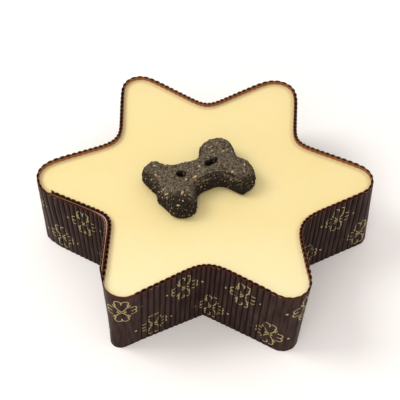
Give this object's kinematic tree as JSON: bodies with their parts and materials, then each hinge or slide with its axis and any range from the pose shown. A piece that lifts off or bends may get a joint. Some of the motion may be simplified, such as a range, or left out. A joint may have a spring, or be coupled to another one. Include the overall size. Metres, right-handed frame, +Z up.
{
  "type": "dog cake",
  "caption": "Star-shaped iced cake in a fluted paper baking case, level with the rim, with a bone-shaped biscuit lying on the icing.",
  "frame": {"origin": "centre of the star on the underside of the paper case, where the cake rests", "axes": "+Z up, out of the icing; +X along the longest way across the star, through one of its points"},
  "size_m": [0.1391, 0.1228, 0.0422],
  "materials": {
    "fluted_paper": "matte dark brown fluted paper with a gold print",
    "icing": "smooth satin cream-yellow icing; matte plastic stands for its finish",
    "biscuit": "rough charcoal biscuit with pale bran flecks; matte plastic stands for its finish"
  },
  "bodies": {
    "root": {"baking_case": "fluted_paper", "iced_cake": "icing", "bone_biscuit": "biscuit"}
  },
  "joints": []
}
